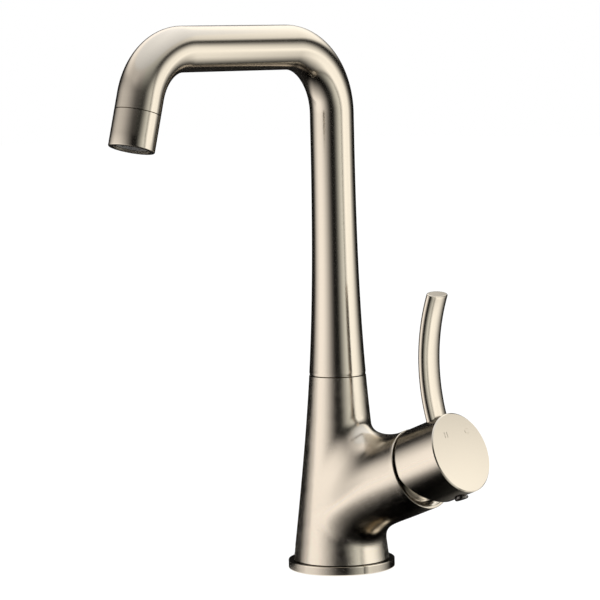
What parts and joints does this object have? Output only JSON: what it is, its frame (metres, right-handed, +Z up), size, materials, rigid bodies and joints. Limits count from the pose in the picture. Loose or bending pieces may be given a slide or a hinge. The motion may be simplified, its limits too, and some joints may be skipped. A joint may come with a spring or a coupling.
{
  "type": "gooseneck bar faucet",
  "caption": "Deck-mounted bar faucet with a swivelling angular gooseneck spout and a side lever on a ceramic cartridge.",
  "frame": {"origin": "centre of the base's underside, on the deck", "axes": "+Z up along the column, -Y along the spout at rest, +X towards the handle's branch"},
  "size_m": [0.1238, 0.1943, 0.299],
  "materials": {
    "satin_nickel": "brushed, warm satin nickel over brass",
    "bright_nickel": "polished nickel",
    "raw_brass": "machined",
    "steel": "machined stainless",
    "ceramic": "lapped alumina",
    "plastic": "moulded grey acetal",
    "rubber": "matt black"
  },
  "bodies": {
    "faucet_body": {"body_casting": "satin_nickel", "base_flange": "satin_nickel", "base_gasket": "rubber", "spout_lock_screw": "steel", "cartridge_housing": "plastic", "cartridge_base": "plastic", "port_seal_outlet": "rubber", "port_seal_hot": "rubber", "port_seal_cold": "rubber", "fixed_ceramic_disc": "ceramic", "retaining_nut": "raw_brass", "bonnet_ring": "bright_nickel"},
    "spout": {"spout_tube": "satin_nickel", "spout_shank": "raw_brass", "lower_glide_ring": "plastic", "upper_glide_ring": "plastic", "lower_o_ring": "rubber", "upper_o_ring": "rubber", "aerator_housing": "satin_nickel", "aerator_core": "plastic", "aerator_screen": "steel", "aerator_washer": "rubber"},
    "carrier": {"disc_carrier": "plastic", "stem_pin": "steel"},
    "handle": {"stem": "raw_brass", "handle_hub": "satin_nickel", "handle_lever": "satin_nickel", "handle_set_screw": "steel", "set_screw_plug": "bright_nickel"},
    "disc": {"moving_ceramic_disc": "ceramic", "disc_slider": "plastic"}
  },
  "joints": [
    {"name": "spout_swivel", "type": "hinge", "parent": "faucet_body", "child": "spout", "pos_m": [0, 0, 0.1067], "axis": [0, 0, 1], "continuous": true},
    {"name": "handle_turn", "type": "hinge", "parent": "faucet_body", "child": "carrier", "pos_m": [0, 0, 0.036], "axis": [0.9278, 0, 0.373], "range_deg": [-45, 45]},
    {"name": "handle_lift", "type": "hinge", "parent": "carrier", "child": "handle", "pos_m": [0.06402, 0, 0.06174], "axis": [0, 1, 0], "range_deg": [0, 25]},
    {"name": "disc_slide", "type": "slide", "parent": "carrier", "child": "disc", "axis": [-0.373, 0, 0.9278], "range_m": [0, 0.0062]}
  ],
  "couplings": [
    {"joint": "disc_slide", "follows": "handle_lift", "m_per_rad": 0.014044}
  ]
}
